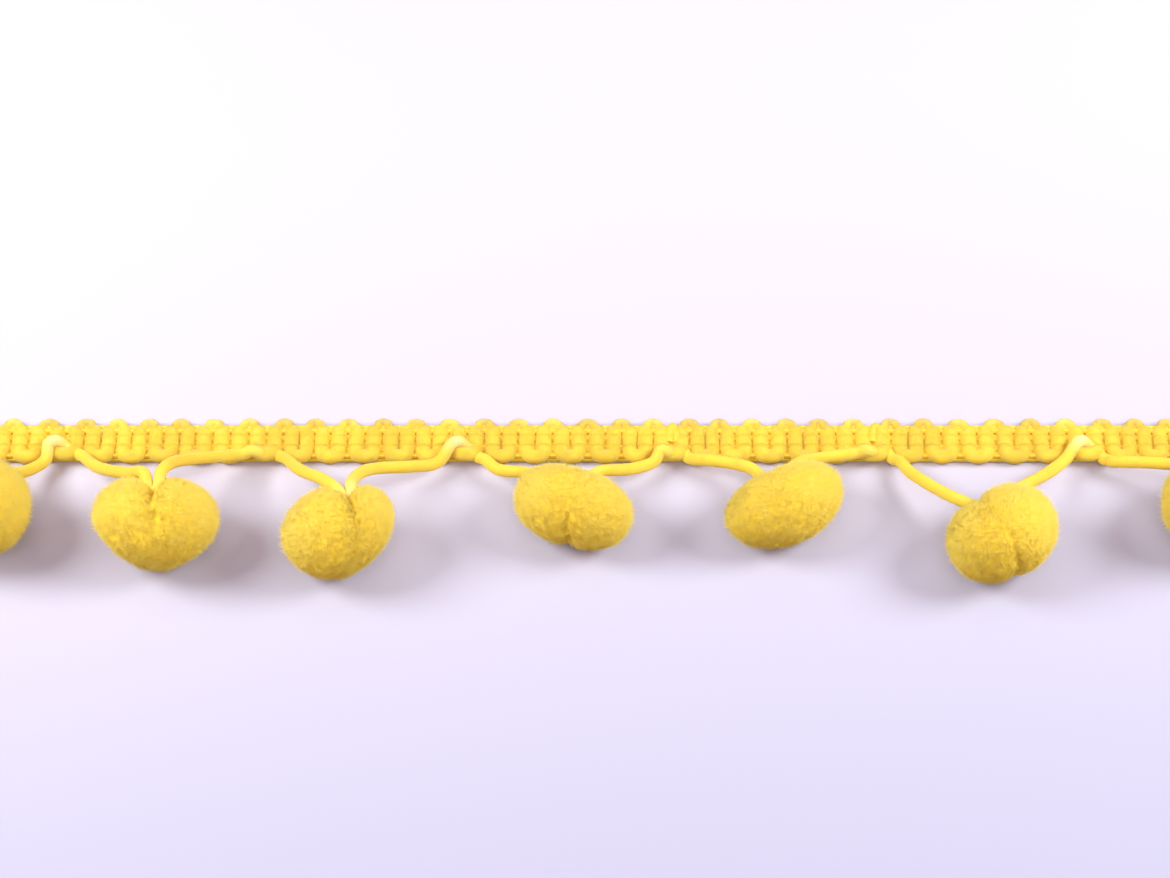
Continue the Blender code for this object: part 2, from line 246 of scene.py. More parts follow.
# Soft uneven spots: how many lie in a metre and how finely they break up.
Spots = namedtuple("Spots", "number detail")
DRIFT = Spots(700.0, 2.0)  # shifts the strands
FUZZ = Spots(4200.0, 3.0)  # lies over them
FUZZ_HEIGHT = 0.9
WEFT_TWIST = 130.0  # turns in a metre
CORD_TWIST = 160.0
YARN_RELIEF = 0.035
YARN_SHADED = (0.35, 1.3)  # the painted shade gives way to the lit colour between these heights
WORN = (1.0, 0.84, 0.45)  # a worn patch's red, green and blue, as shares of the lit yarn's
WORN_PATCHES = Spots(420.0, 3.0)
WORN_BETWEEN = (0.3, 0.75)  # not worn below the first, and fully worn above the second
WORN_SHARE = 0.16
FURROW_SHARE = 0.16  # how far the furrows between the filaments take the painted shade
GROOVE_RELIEF = 4.0
WEFT_FOLDS = 26  # rows that a yarn's length is folded into on its bake map
CORD_FOLDS = 12
FOLD_MARGIN = 0.06
FOLD_OVERRUN = 1.02

# ---- Pile ----

# The crease at the waist: half width and share of the depth, of the crease itself and of
# the shallow valley round it.
Crease = namedtuple("Crease", "width part")
CREASES = (Crease(0.065, 0.55), Crease(0.24, 0.45))
CREASE_JAG = 0.02
JAGS = (9, 17)  # teeth round the waist, in two sizes
WAIST_LEAST = 0.012
CREASE_PAINTED_SHADE = 3.5  # how fast the painted shade on the pile deepens with the depth of the crease
LOBE_STEP = 6.0  # how sharply the larger lobe begins
SLIM_STEP = 3.0  # and how sharply the smaller one grows slim
LOBE_SLIM = 0.8
LOBE_BLUNT = 0.84  # below 1, the lobes' ends are blunter than an egg's
REST_SINK = 0.35  # how far the soft underside is pressed flat
CORE_SHARE = 0.955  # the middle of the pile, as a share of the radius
CORE_LOWEST = 0.5
ROOT_SHARE = 0.91
ROOT_LOWEST = 0.45
GOLDEN_TURN = math.pi * (3 - math.sqrt(5))  # spaces points evenly over a ball
FIBRES_UNEVEN = (0.008, 0.01)  # how far fibres stray from that, across and round the ball
TUFTS = 520  # in one pompom
TUFTS_UNEVEN = (0.03, 0.05)
TUFT_SHARE = 0.99
TUFTED = 0.3  # how far the tips draw together into tufts where the pile is rough
TUFTED_WAIST = 0.04
WAIST_WIDTH = 0.3
STRAY_SHARE = 0.38  # fibres that stand out of the brushed surface
STRAY_REACH = (0.01, 0.095)
STRAY_LEAN = 0.4
STRAY_GIRTH = 0.33
GIRTHS = (0.8, 1.15)
ROUGH_SIDE = (0.0, -0.985, 0.17)  # where the pile is least brushed and stands in clumps, and where its tips are painted in shade
ROUGH_FROM = 0.3  # how near to that side the clumps begin, as a cosine
ROUGH_RANGE = 0.5  # and how much nearer it is fully rough
ROUGH_LEAST = 0.15
BRUSHED = 0.6  # how far neighbouring fibres lie over together
BRUSHED_LEAST = 0.35
BRUSHED_UNEVENLY = 0.25
SPLAY = 0.5  # how far the fibres under a pompom are turned outwards
CORD_NEAR = 9.0  # the cord's points this near to a pompom's middle keep fibres away
TIP_CLEAR = 0.5
FIBRE_CLEAR = 0.45
SOFTNESS = 0.7  # share of the brushed surface's own direction in each fibre's shading
GLOW = 0.4  # how far that shading turns upwards, as light soaks through cut pile
ROOT_SHADE = 0.7  # the painted shade at the root fades out this far up a fibre
SHADE_MARGIN = 0.03  # of the bake map

# The uneven places of the pile: how many lie in a millimetre, and the shift that sets
# them apart from pompom to pompom.
Places = namedtuple("Places", "scale step start")
SWELLS = Places(0.3, 9.0, 0.0)
LUMPS = Places(0.85, 7.0, 0.0)
SPECKS = Places(2.1, 3.0, 0.0)
LEANS = Places(1.3, 5.0, 3.0)

# What they do to the tips: how far out these stand, as a share of the radius, and how pale
# they are, which is painted light and shade: darker on tips facing the rough side and on all
# rough pile, paler where swells, lumps and specks stand out. Each has one row for all of the
# pile and one for what rough pile adds.
Effect = namedtuple("Effect", "level facing swells lumps specks")
REACH = Effect(1.0, 0.0, 0.02, 0.015, 0.0)
ROUGH_REACH = Effect(0.0, 0.0, 0.0, 0.04, 0.03)
REACH_UNEVEN = 0.012
PALENESS = Effect(0.88, -0.28, 0.4, 0.25, 0.0)
ROUGH_PALENESS = Effect(-0.4, 0.0, 0.0, 0.35, 0.75)
PALENESS_UNEVEN = 0.08
# painted highlight: the stray fibres are painted paler, for the bright fuzz round the rim
STRAY_HIGHLIGHT = 0.2


def tie_places():
    """X of each tie of the cord, with the trim centred on the origin."""
    lengths = [row.length for row in REPEATS]
    start = -sum(lengths) / 2
    return [start + sum(lengths[:k]) for k in range(len(lengths) + 1)]


# ---- Settings that a user would change ----


def length_property(name, description, default):
    return bpy.props.FloatProperty(
        name=name, description=description, default=default, min=0.0, unit="LENGTH", precision=5
    )


def colour_property(name, description, default):
    return bpy.props.FloatVectorProperty(
        name=name, description=description, default=default, min=0.0, max=1.0, subtype="COLOR"
    )


class TrimSizes(bpy.types.PropertyGroup):
    """Sizes of the yarns and of the pile."""

    weft: length_property("Weft", "Diameter of the heading's thick yarn", 1.85 * MM)
    width: length_property(
        "Heading width",
        "From the loops of one edge to those of the other",
        (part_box("heading")[1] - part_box("heading")[0]).y,
    )
    cord: length_property("Cord", "Diameter of the carrier cord", 1.5 * MM)
    fibre: length_property("Fibre", "Radius of a pile fibre at its root", 0.13 * MM)
    fibres: bpy.props.IntProperty(
        name="Fibres", description="Cut fibres in one pompom", default=24500, min=100
    )
    hairs: bpy.props.IntProperty(
        name="Hairs", description="Loose hairs on the heading, twice the cord's", default=9000, min=0
    )


class TrimColours(bpy.types.PropertyGroup):
    """Shades of the yarns and of the pile: their dye colours, and the colours of their painted shade
    and painted highlight.
    """

    yarn: colour_property("Yarn", "Weft where light reaches it", (0.845, 0.58, 0.052))
    # painted shade: the colour of the weft and cord where they lie low, in slits and furrows
    yarn_painted_shade: colour_property("Yarn, deep", "Weft between its legs", (0.78, 0.52, 0.03))
    cord: colour_property("Cord", "Carrier cord", (0.93, 0.645, 0.055))
    # painted highlight colour: on the cord's tight bends, the fluffy upper loops, the hairs and the
    # top edge warp
    painted_highlight_colour: colour_property("Cord, drawn", "Cord where it is drawn tight", (0.98, 0.90, 0.42))
    pile_tip: colour_property("Pile tips", "Cut ends of the pile", (0.965, 0.71, 0.115))
    # painted shade: the colour of tips painted in shade, on the rough lower side and in the crease
    pile_painted_shade: colour_property("Pile, parted", "Cut ends where the pile parts", (0.84, 0.54, 0.058))
    # painted shade: the colour painted at the roots of the fibres and on the core
    pile_painted_root_shade: colour_property("Pile roots", "Depth of the pile", (0.94, 0.65, 0.055))


class StageLook(bpy.types.PropertyGroup):
    """Floor and light of the stage."""

    # painted shade: the near floor is darker and bluer than the far floor, for the light falling off
    near: colour_property("Floor, near", "Floor towards the viewer's right", (0.468, 0.452, 0.608))
    far: colour_property("Floor, far", "Floor away from the viewer", (0.67, 0.61, 0.70))
    side_power: bpy.props.FloatProperty(
        name="Side lights", description="Power of each side light", default=0.78, min=0.0, unit="POWER"
    )
    front: bpy.props.FloatProperty(
        name="Front light", description="Strength of the wide light in front", default=0.7, min=0.0
    )
    air: bpy.props.FloatProperty(
        name="Air", description="Strength of the even light from all round", default=0.39, min=0.0
    )


# ---- Shader building ----


class Value:
    """A shader socket that takes part in arithmetic."""

    def __init__(self, look, socket):
        self.look = look
        self.socket = socket

    def maths(self, operation, *values):
        made = self.look.node("ShaderNodeMath", {"operation": operation}, dict(enumerate(values)))
        return Value(self.look, made.outputs[0])

    def __add__(self, other):
        return self.maths("ADD", self, other)

    def __radd__(self, other):
        return self.maths("ADD", other, self)

    def __sub__(self, other):
        return self.maths("SUBTRACT", self, other)

    def __rsub__(self, other):
        return self.maths("SUBTRACT", other, self)

    def __mul__(self, other):
        return self.maths("MULTIPLY", self, other)

    def __rmul__(self, other):
        return self.maths("MULTIPLY", other, self)

    def sine(self):
        return self.maths("SINE", self)

    def smooth(self, low, high):
        """0 below low, 1 above high, and smooth between."""
        made = self.look.node(
            "ShaderNodeMapRange",
            {"interpolation_type": "SMOOTHSTEP"},
            {"Value": self, "From Min": low, "From Max": high},
        )
        return Value(self.look, made.outputs["Result"])


class Look:
    """One material in the making."""

    def __init__(self, name):
        self.material = bpy.data.materials.new(name)
        self.material.use_nodes = True
        self.tree = self.material.node_tree
        self.surface = self.tree.nodes["Principled BSDF"]

    def node(self, kind, settings=None, inputs=None):
        """A node with its settings made first and then its sockets set or linked."""
        made = self.tree.nodes.new(kind)
        for name, value in (settings or {}).items():
            setattr(made, name, value)
        for name, value in (inputs or {}).items():
            self.feed(made.inputs[name], value)
        return made

    def feed(self, socket, value):
        if isinstance(value, Value):
            self.tree.links.new(value.socket, socket)
        elif isinstance(value, bpy.types.NodeSocket):
            self.tree.links.new(value, socket)
        else:
            socket.default_value = value

    def place(self):
        return self.node("ShaderNodeTexCoord").outputs["Object"]

    def parts_of(self, vector):
        """The three numbers of a vector."""
        made = self.node("ShaderNodeSeparateXYZ", None, {0: vector})
        return [Value(self, out) for out in made.outputs]

    def attribute(self, name):
        made = self.node("ShaderNodeAttribute", {"attribute_name": name})
        return Value(self, made.outputs["Fac"])

    def speckle(self, spots):
        """Soft uneven spots, from 0 to 1."""
        inputs = {"Vector": self.place(), "Scale": spots.number, "Detail": spots.detail}
        return Value(self, self.node("ShaderNodeTexNoise", None, inputs).outputs["Fac"])

    def mix(self, factor, first, second):
        """A colour between two colours."""
        first, second = (
            (*c, 1.0) if not isinstance(c, bpy.types.NodeSocket) else c for c in (first, second)
        )
        made = self.node("ShaderNodeMix", {"data_type": "RGBA"}, {0: factor, 6: first, 7: second})
        return made.outputs[2]

    def raise_by(self, height, distance):
        """Feeds a relief of this depth, in metres, to the surface's normal."""
        bump = self.node("ShaderNodeBump", None, {"Height": height, "Distance": distance})
        self.feed(self.surface.inputs["Normal"], bump.outputs["Normal"])

    def finish(self, **values):
        """Sets or links the surface's own sockets, with _ for each space in a name."""
        for name, value in values.items():
            self.feed(self.surface.inputs[name.replace("_", " ")], value)
        return self.material


def yarn_look(name, lit, painted_shade, pale, turns, grooves=()):
    """Soft filament yarn: fine strands that wind round it, with painted shade where it lies low, in
    its furrows and under the chains.
    """
    look = Look(name)
    map_node = look.node("ShaderNodeUVMap", {"uv_map": "yarn"})
    around, along, _ = look.parts_of(map_node.outputs["UV"])
    _, up, high = look.parts_of(look.place())
    drift = look.speckle(DRIFT)

    def laid(strands):
        """The waves of one layer of strands, from -1 in a furrow to 1 on a strand."""
        turn = around * (2 * math.pi * strands.number)
        wound = turn + along * (2 * math.pi * turns * strands.twist)
        return (wound + drift * strands.wander).sine()

    filaments = laid(FILAMENTS)
    height = laid(PLIES) * PLIES.height + filaments * FILAMENTS.height
    height = height + laid(CROSSINGS) * CROSSINGS.height + look.speckle(FUZZ) * FUZZ_HEIGHT
    # painted shade: the yarn is painted darker where it lies low, in slits, on undersides and between
    # its parts
    body = look.mix(high.smooth(YARN_SHADED[0] * MM, YARN_SHADED[1] * MM), painted_shade, lit)
    worn = look.speckle(WORN_PATCHES).smooth(*WORN_BETWEEN)
    body = look.mix(worn * WORN_SHARE, body, [part * share for part, share in zip(lit, WORN)])
    # painted shade in the furrows between the filaments
    body = look.mix((1.0 - filaments.smooth(-1.0, 0.2)) * FURROW_SHARE, body, painted_shade)
    # painted shade in the crease under each chain, which is also pressed into the relief
    for middle, depth in grooves:
        edge = up * (1 / MM) - middle
        line = edge.smooth(-GROOVE_WIDTH, 0.0) * (1.0 - edge.smooth(0.0, GROOVE_WIDTH))
        body = look.mix(line * depth, body, painted_shade)
        height = height - line * (depth * GROOVE_RELIEF)
    # painted highlight, where the attribute asks for it
    body = look.mix(look.attribute("pale"), body, pale)
    look.raise_by(height * look.attribute("relief"), YARN_RELIEF * MM)
    return look.finish(
        Base_Color=body,
        Roughness=0.62 + worn * 0.18,
        Sheen_Weight=0.25,
        Sheen_Roughness=0.4,
        Sheen_Tint=(1.0, 0.93, 0.6, 1.0),
        Specular_IOR_Level=0.35,
    )


def pile_look(name, root, painted_tip_shade, tip):
    """Cut pile: each fibre has its own paleness, which carries painted light and shade as well as its
    random tone, and painted shade towards its root.
    """
    look = Look(name)
    # tint carries the tips' painted light and shade as well as their random tone
    tint = look.attribute("tint")
    height = look.attribute("height")
    # painted shade towards each fibre's root, over the tips' painted light and shade
    body = look.mix(height.smooth(0.0, ROOT_SHADE), root, look.mix(tint, painted_tip_shade, tip))
    return look.finish(
        Base_Color=body,
        Roughness=0.85,
        Sheen_Weight=0.8,
        Sheen_Roughness=0.4,
        Sheen_Tint=(1.0, 0.92, 0.55, 1.0),
        Specular_IOR_Level=0.15,
    )


def floor_look(name, near, far):
    """Matt pale card, with a painted shade that makes it darker and cooler towards one corner."""
    look = Look(name)
    x, y, _ = look.parts_of(look.place())
    across = (x * FLOOR_SLANT - y).smooth(*FLOOR_FADE)
    grain = look.speckle(FLOOR_GRAIN)
    # painted shade: darker and cooler from the far floor towards the near corner
    body = look.mix(across, far, near)
    body = look.mix(grain * GRAIN_SHARE, body, [part * GRAIN_SHADE for part in far])
    look.raise_by(grain, FLOOR_RELIEF * MM)
    return look.finish(Base_Color=body, Roughness=0.8, Specular_IOR_Level=0.1)


# ---- Yarn building ----


def smooth_line(points):
    """Points on a smooth curve through the given ones, closest where it turns.

    A fourth number of a point is the yarn's width there, and is carried along.
    """
    knots = [Vector(p) for p in points]
    knots = [2 * knots[0] - knots[1]] + knots + [2 * knots[-1] - knots[-2]]
    fine = []
    for a, b, c, d in zip(knots, knots[1:], knots[2:], knots[3:]):
        span = (c - b).length
        before = math.sqrt(span / (b - a).length)
        after = math.sqrt(span / (d - c).length)
        # slopes that keep a smooth curve from looping between uneven points
        leave = (c - b) + ((b - a) * before - (c - a) / (1 + 1 / before))
        reach = (c - b) + ((d - c) * after - (d - b) / (1 + 1 / after))
        for k in range(FINE_STEPS):
            fine.append(hermite(b, c, leave, reach, k / FINE_STEPS))
    fine.append(knots[-2])
    return thinned(fine)


def hermite(start, end, leave, reach, t):
    """A point of the cubic from start to end with the given slopes."""
    return (
        start * (2 * t**3 - 3 * t**2 + 1)
        + leave * (t**3 - 2 * t**2 + t)
        + end * (3 * t**2 - 2 * t**3)
        + reach * (t**3 - t**2)
    )


def thinned(fine):
    """Drops points of a line where it runs straight."""
    kept = [fine[0]]
    aim = fine[1] - fine[0]
    for here, following in zip(fine[1:], fine[2:]):
        turned = math.degrees((following - here).angle(aim))
        if turned > SHARPEST_STEP or (here - kept[-1]).length > LONGEST_STEP:
            kept.append(here)
            aim = following - here
    return kept + [fine[-1]]


def straight(start, end, y, z):
    """A straight line along the trim."""
    return [Vector((start, y, z)), Vector((end, y, z))]


def only(thing):
    """Leaves this object alone selected and active."""
    bpy.ops.object.select_all(action="DESELECT")
    thing.select_set(True)
    bpy.context.view_layer.objects.active = thing


def placed(name, data):
    """An object with this data, linked to the scene."""
    made = bpy.data.objects.new(name, data)
    bpy.context.scene.collection.objects.link(made)
    return made


def joined(things, name):
    """Several objects as one, which takes the name."""
    only(things[0])
    for other in things[1:]:
        other.select_set(True)
    bpy.ops.object.join()
    made = bpy.context.object
    made.name = name
    made.data.name = name
    return made


def yarn(name, line, diameter, resolution, uneven=0.0, pale=0.0):
    """A yarn along the line, closed at both ends, with a map of turns and metres."""
    widths = [
        (point[3] if len(point) > 3 else 1.0) * (1 + uneven * noise.noise(point.xyz * WOBBLE))
        for point in line
    ]
    line = [point.xyz for point in line]
    curve = bpy.data.curves.new(name, "CURVE")
    curve.dimensions = "3D"
    curve.twist_mode = "Z_UP"
    curve.bevel_depth = diameter / 2
    curve.bevel_resolution = resolution
    curve.use_fill_caps = True
    spline = curve.splines.new("POLY")
    spline.points.add(len(line) - 1)
    for k, point in enumerate(line):
        spline.points[k].co = (*(point * MM), 1.0)
        spline.points[k].radius = widths[k]
    length = sum((b - a).length for a, b in zip(line, line[1:])) * MM
    only(placed(name, curve))
    bpy.ops.object.convert(target="MESH")
    made = bpy.context.object
    bpy.ops.object.mode_set(mode="EDIT")
    bpy.ops.mesh.select_all(action="SELECT")
    bpy.ops.mesh.remove_doubles(threshold=1e-7)
    bpy.ops.mesh.normals_make_consistent(inside=False)
    bpy.ops.object.mode_set(mode="OBJECT")
    bpy.ops.object.shade_smooth_by_angle(angle=math.radians(SMOOTH_BELOW))
    layer = made.data.uv_layers[0]
    layer.name = "yarn"
    places = numbers(layer.uv, "vector", 2)
    layer.uv.foreach_set("vector", (places * (1.0, length)).astype(np.float32).ravel())
    set_attribute(made.data, "pale", np.full(len(made.data.vertices), pale))
    relief = min(diameter / FULL_RELIEF / MM, 1.0) ** 2
    set_attribute(made.data, "relief", np.full(len(made.data.vertices), relief))
    return made


def numbers(items, name, width):
    """A property of all items as an array."""
    found = np.empty(len(items) * width, np.float32)
    items.foreach_get(name, found)
    return found.reshape(-1, width).astype(float) if width > 1 else found.astype(float)


def whole_numbers(items, name):
    """A whole-number property of all items as an array."""
    found = np.empty(len(items), np.int32)
    items.foreach_get(name, found)
    return found


def set_attribute(mesh, name, values):
    """Sets one value for each vertex, for the looks to read."""
    layer = mesh.attributes.get(name) or mesh.attributes.new(name, "FLOAT", "POINT")
    layer.data.foreach_set("value", np.asarray(values, np.float32))


# ---- Fibres ----


def spikes(roots, tips, radius):
    """Closed three-sided spikes: their vertices, four to a spike, and triangles."""
    aim = tips - roots
    aim /= np.linalg.norm(aim, axis=1, keepdims=True)
    # any direction that a fibre doesn't run along
    helper = np.where(np.abs(aim[:, 2:]) < 0.8, (0.0, 0.0, 1.0), (1.0, 0.0, 0.0))
    side = np.cross(aim, helper)
    side /= np.linalg.norm(side, axis=1, keepdims=True)
    other = np.cross(aim, side)
    corners = []
    for corner in range(3):
        turn = 2 * math.pi * corner / 3
        corners.append(roots + radius[:, None] * (side * math.cos(turn) + other * math.sin(turn)))
    points = np.stack([*corners, tips], axis=1).reshape(-1, 3)
    first = np.arange(len(roots))[:, None, None] * 4
    pattern = np.array([(0, 2, 1), (0, 1, 3), (1, 2, 3), (2, 0, 3)])
    return points, (first + pattern[None]).reshape(-1, 3)


def spike_object(name, roots, tips, radius):
    """Spikes as an object of their own."""
    points, faces = spikes(roots, tips, radius)
    mesh = bpy.data.meshes.new(name)
    mesh.from_pydata(points, [], faces)
    mesh.shade_smooth()
    return placed(name, mesh)


def spread(mesh, count, random):
    """Random places on a yarn, closest on the upper loops: faces, middles and normals."""
    middles = numbers(mesh.polygons, "center", 3)
    share = numbers(mesh.polygons, "area", 1) * np.where(middles[:, 1] > HAZE_FROM * MM, HAZE, 1)
    faces = random.choice(len(share), count, p=share / share.sum())
    return faces, middles[faces], numbers(mesh.polygons, "normal", 3)[faces]


def add_hairs(body, count, name):
    """Joins short loose hairs to a yarn, each with a small patch of the yarn's own map."""
    random = np.random.default_rng(SEED)
    mesh = body.data
    faces, middles, normals = spread(mesh, count, random)
    aim = normals + random.normal(0, HAIR_LEAN, (count, 3))
    aim /= np.linalg.norm(aim, axis=1, keepdims=True)
    reach = random.uniform(*HAIR_REACH, count) * MM
    roots = middles - normals * (HAIR_ROOT * MM)
    tips = roots + aim * reach[:, None]
    tips[:, 2] = np.maximum(tips[:, 2], FLOOR_CLEAR * MM)
    hairs = spike_object("hairs", roots, tips, random.uniform(*HAIR_RADIUS, count) * MM)
    starts = whole_numbers(mesh.polygons, "loop_start")
    places = numbers(mesh.uv_layers["yarn"].uv, "vector", 2)[starts[faces]]
    # each hair takes a small patch of the yarn's map, by the place that it grows from
    patch = np.array([(0.0, 0.0), (0.012, 0.0), (0.0, 6e-5), (0.006, 3e-5)])
    points = (places[:, None] + patch[None]).reshape(-1, 2)
    corners = whole_numbers(hairs.data.loops, "vertex_index")
    layer = hairs.data.uv_layers.new(name="yarn")
    layer.uv.foreach_set("vector", points[corners].astype(np.float32).ravel())
    # painted highlight on every loose hair
    set_attribute(hairs.data, "pale", np.full(len(points), HAZE_HIGHLIGHT))
    set_attribute(hairs.data, "relief", np.zeros(len(points)))
    return joined([body, hairs], name)


def fold_map(mesh, rows):
    """The bake map of a long yarn: its length folded into rows, one above another."""
    past_end = 1.0001  # keeps the yarn's last point in the last row
    places = numbers(mesh.uv_layers["yarn"].uv, "vector", 2)
    starts = whole_numbers(mesh.polygons, "loop_start")
    totals = whole_numbers(mesh.polygons, "loop_total")
    reach = places[:, 1].max() * past_end / rows
    lowest = np.minimum.reduceat(places[:, 1], starts)
    row = np.repeat(np.floor(lowest / reach), totals)
    across = np.clip(places[:, 1] / reach - row, 0, FOLD_OVERRUN) / FOLD_OVERRUN
    up = (row + FOLD_MARGIN + (1 - 2 * FOLD_MARGIN) * np.clip(places[:, 0], 0, 1)) / rows
    layer = mesh.uv_layers.new(name="OFBake")
    layer.uv.foreach_set("vector", np.stack([across, up], 1).astype(np.float32).ravel())


def settle(piece, look, slot, *nodes):
    """Gives a finished piece its finish and its place in the trim."""
    piece.data.materials.clear()
    piece.data.materials.append(look)
    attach(piece, "root")
    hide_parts(*nodes)


# ---- Heading ----


def upper_loops(ties):
    """X of every loop along the upper edge, in order."""
    loops = [tie + step for tie, steps in zip(ties, LOOPS) for step in steps]
    return [ties[0] - END_LOOPS[0], *loops, ties[-1] + END_LOOPS[1]]


def weft_route(loops, ties, diameter, width):
    """The weft's way up and down across the heading, with its width at each point.

    Its two legs at a loop stand a quarter of the space between loops to each side.
    """
    edge = (width - diameter) / 2
    crown = (width - CROWN * diameter) / 2 + CROWN_REACH
    random = np.random.default_rng(SEED)
    gaps = [b - a for a, b in zip(loops, loops[1:])]
    gaps = [gaps[0], *gaps, gaps[-1]]
    route = []

    def leg(x, full, upward):
        for y in PINCHES if upward else reversed(PINCHES):
            route.append((x + random.uniform(-1, 1) * LOOP_UNEVEN, y, 0.0, PINCHED * full))

    def upper_turn(left, right, full):
        centre = (left + right) / 2
        tip = crown - LOOP_SHORT * random.uniform(0, 1)
        half = [(left - centre, LEG_TOP, 0.0, full)]
        for turn in UPPER_TURNS:
            lift = TURN_LIFT * (1 - turn.thin)
            half.append(((left - centre) * turn.out, turn.up, lift, turn.thin))
        route.extend((centre + x, *rest) for x, *rest in half)
        route.append((centre, tip, CROWN_LIFT, CROWN))
        route.extend((centre - x, *rest) for x, *rest in reversed(half))

    def lower_turn(left, right, lift):
        centre = (left + right) / 2
        reach = (right - left) / 2 * LOOP_SHOULDER
        low = -edge - LOOP_DROP
        corner = low + LOOP_ROUNDING
        route.append((centre - reach, corner, lift * TIE_SHOULDER, 1.0))
        route.append((centre, low + LOOP_SHORT * random.uniform(0, 1), lift, 1.0))
        route.append((centre + reach, corner, lift * TIE_SHOULDER, 1.0))

    route.append((loops[0] - gaps[0] / 4, LOOP_ROUNDING - edge, 0.0, 1.0))
    for k, x in enumerate(loops):
        left = x - gaps[k] / 4
        right = x + gaps[k + 1] / 4
        space = (gaps[k] / 2 + gaps[k + 1] / 2) / 2
        full = min(max((space - SLIT) / diameter, LEG_LEAST), LEG_MOST)
        leg(left, full, True)
        upper_turn(left, right, full)
        leg(right, full, False)
        if k + 1 < len(loops):
            after = loops[k + 1] - gaps[k + 1] / 4
            at_tie = min(abs((right + after) / 2 - tie) for tie in ties) < TIE_REACH
            lower_turn(right, after, TIE_LIFT if at_tie else 0.0)
    route.append((loops[-1] + gaps[-1] / 4, LOOP_ROUNDING - edge, 0.0, 1.0))
    return route


def press(mesh):
    """Lowers the front of the weft where the chains cross it."""
    places = numbers(mesh.vertices, "co", 3)
    for y in PINCHES:
        near = np.exp(-(((places[:, 1] / MM - y) / PRESS_WIDTH) ** 2))
        places[:, 2] *= 1 - PRESSED * near
    places[:, 2] = np.maximum(places[:, 2], FLOOR_CLEAR * MM)
    mesh.vertices.foreach_set("co", places.astype(np.float32).ravel())
    mesh.update()


class TRIM_OT_heading(bpy.types.Operator):
    """Make the gimp heading: the looping weft, its warp chains and its loose hairs"""

    bl_idname = "trim.heading"
    bl_label = "Heading"

    def execute(self, context):
        sizes = context.scene.trim_sizes
        colours = context.scene.trim_colours
        ties = tie_places()
        loops = upper_loops(ties)
        route = weft_route(loops, ties, sizes.weft / MM, sizes.width / MM)
        weft = yarn("weft", smooth_line(route), sizes.weft, WEFT_ROUNDNESS, WEFT_UNEVEN)
        rise = sizes.weft / 2 * WEFT_FLATNESS + FLOOR_CLEAR * MM
        weft.data.transform(
            Matrix.Translation((0, 0, rise)) @ Matrix.Diagonal((1, 1, WEFT_FLATNESS, 1))
        )
        press(weft.data)
        up = numbers(weft.data.vertices, "co", 3)[:, 1] / MM
        # painted highlight on the upper loops
        set_attribute(weft.data, "pale", HAZE_HIGHLIGHT * np.clip(up - HAZE_FROM + HAZE_FADE, 0, 1))
        pieces = [weft, *self.warps(loops)]
        pieces += [self.extra_loop(x, sizes, rise) for x, tie in zip(ties, TIES) if tie.extra]
        heading = joined(pieces, "heading_gimp")
        heading = add_hairs(heading, sizes.hairs, "heading_gimp")
        fold_map(heading.data, WEFT_FOLDS)
        grooves = tuple(zip(PINCHES, GROOVE_DEPTHS))
        shades = (colours.yarn, colours.yarn_painted_shade, colours.painted_highlight_colour)
        look = yarn_look("heading_yarn", *shades, WEFT_TWIST, grooves)
        settle(heading, look, "heading_yarn", "heading")
        return {"FINISHED"}

    def warps(self, loops):
        """The chains over the weft, and the warp yarns behind it and along both edges."""
        start = loops[0] - WARP_PAST
        end = loops[-1] + WARP_PAST
        steps = [b - a for a, b in zip(loops, loops[1:])]
        legs = []
        for x, before, after in zip(loops, [steps[0], *steps], [*steps, steps[-1]]):
            legs += [x - before / 4, x + after / 4]
        made = []
        for number, y in enumerate(PINCHES):
            points = [(start, y, CHAIN_DEEP)]
            for left, right in zip(legs, legs[1:]):
                points.append((left - CHAIN_BESIDE[0], y, CHAIN_BESIDE[1]))
                points.append((left, y + CHAIN_SWAY, CHAIN_OVER))
                points.append((left + CHAIN_BESIDE[0], y, CHAIN_BESIDE[1]))
                points.append(((left + right) / 2, y - CHAIN_SWAY, CHAIN_DEEP))
            points.append((legs[-1], y, CHAIN_OVER))
            points.append((end, y, CHAIN_DEEP))
            line = smooth_line(points)
            made.append(yarn(f"chain_{number}", line, CHAIN_DIAMETER * MM, THIN_ROUNDNESS))
        for y in GROUND_ROWS:
            line = straight(start + GROUND_SHORT, end - GROUND_SHORT, y, GROUND_HEIGHT)
            made.append(yarn("ground", line, GROUND_DIAMETER * MM, THIN_ROUNDNESS))
        for edge in EDGES:
            line = straight(start, end, edge.y, edge.z)
            made.append(yarn("edge", line, edge.diameter * MM, THIN_ROUNDNESS, pale=edge.pale))
        return made

    def extra_loop(self, x, sizes, rise):
        """A small loop of weft that stands between two others at a tie."""
        line = smooth_line([(x + across, up, rise / MM + EXTRA_RISE) for across, up in EXTRA_LOOP])
        return yarn("extra_loop", line, sizes.weft * EXTRA_WIDTH, EXTRA_ROUNDNESS)


# ---- Cord ----


def pompom_axes(row):
    """Unit directions of a pompom: along both lobes, towards the cord, and across."""
    swing = Matrix.Rotation(math.radians(row.turn), 3, "Z")
    along = swing @ Vector((1, 0, 0))
    away = swing @ Vector((0, 1, 0))
    tip = math.radians(row.tip)
    entry = (away * math.cos(tip) + Vector((0, 0, math.sin(tip)))).normalized()
    return along, entry, along.cross(entry).normalized()


def pompom_middle(row):
    return Vector((row.x, row.y, row.girth / 2 - REST_SINK))


def cord_seat(row):
    """The two ends of the cord's turn in the waist of a pompom."""
    _, entry, _ = pompom_axes(row)
    lowest = pompom_middle(row) + entry * (row.seat * row.girth / 2)
    side = Vector((SEAT_SPREAD, 0, 0))
    return [tuple(lowest - side), tuple(lowest + side)]


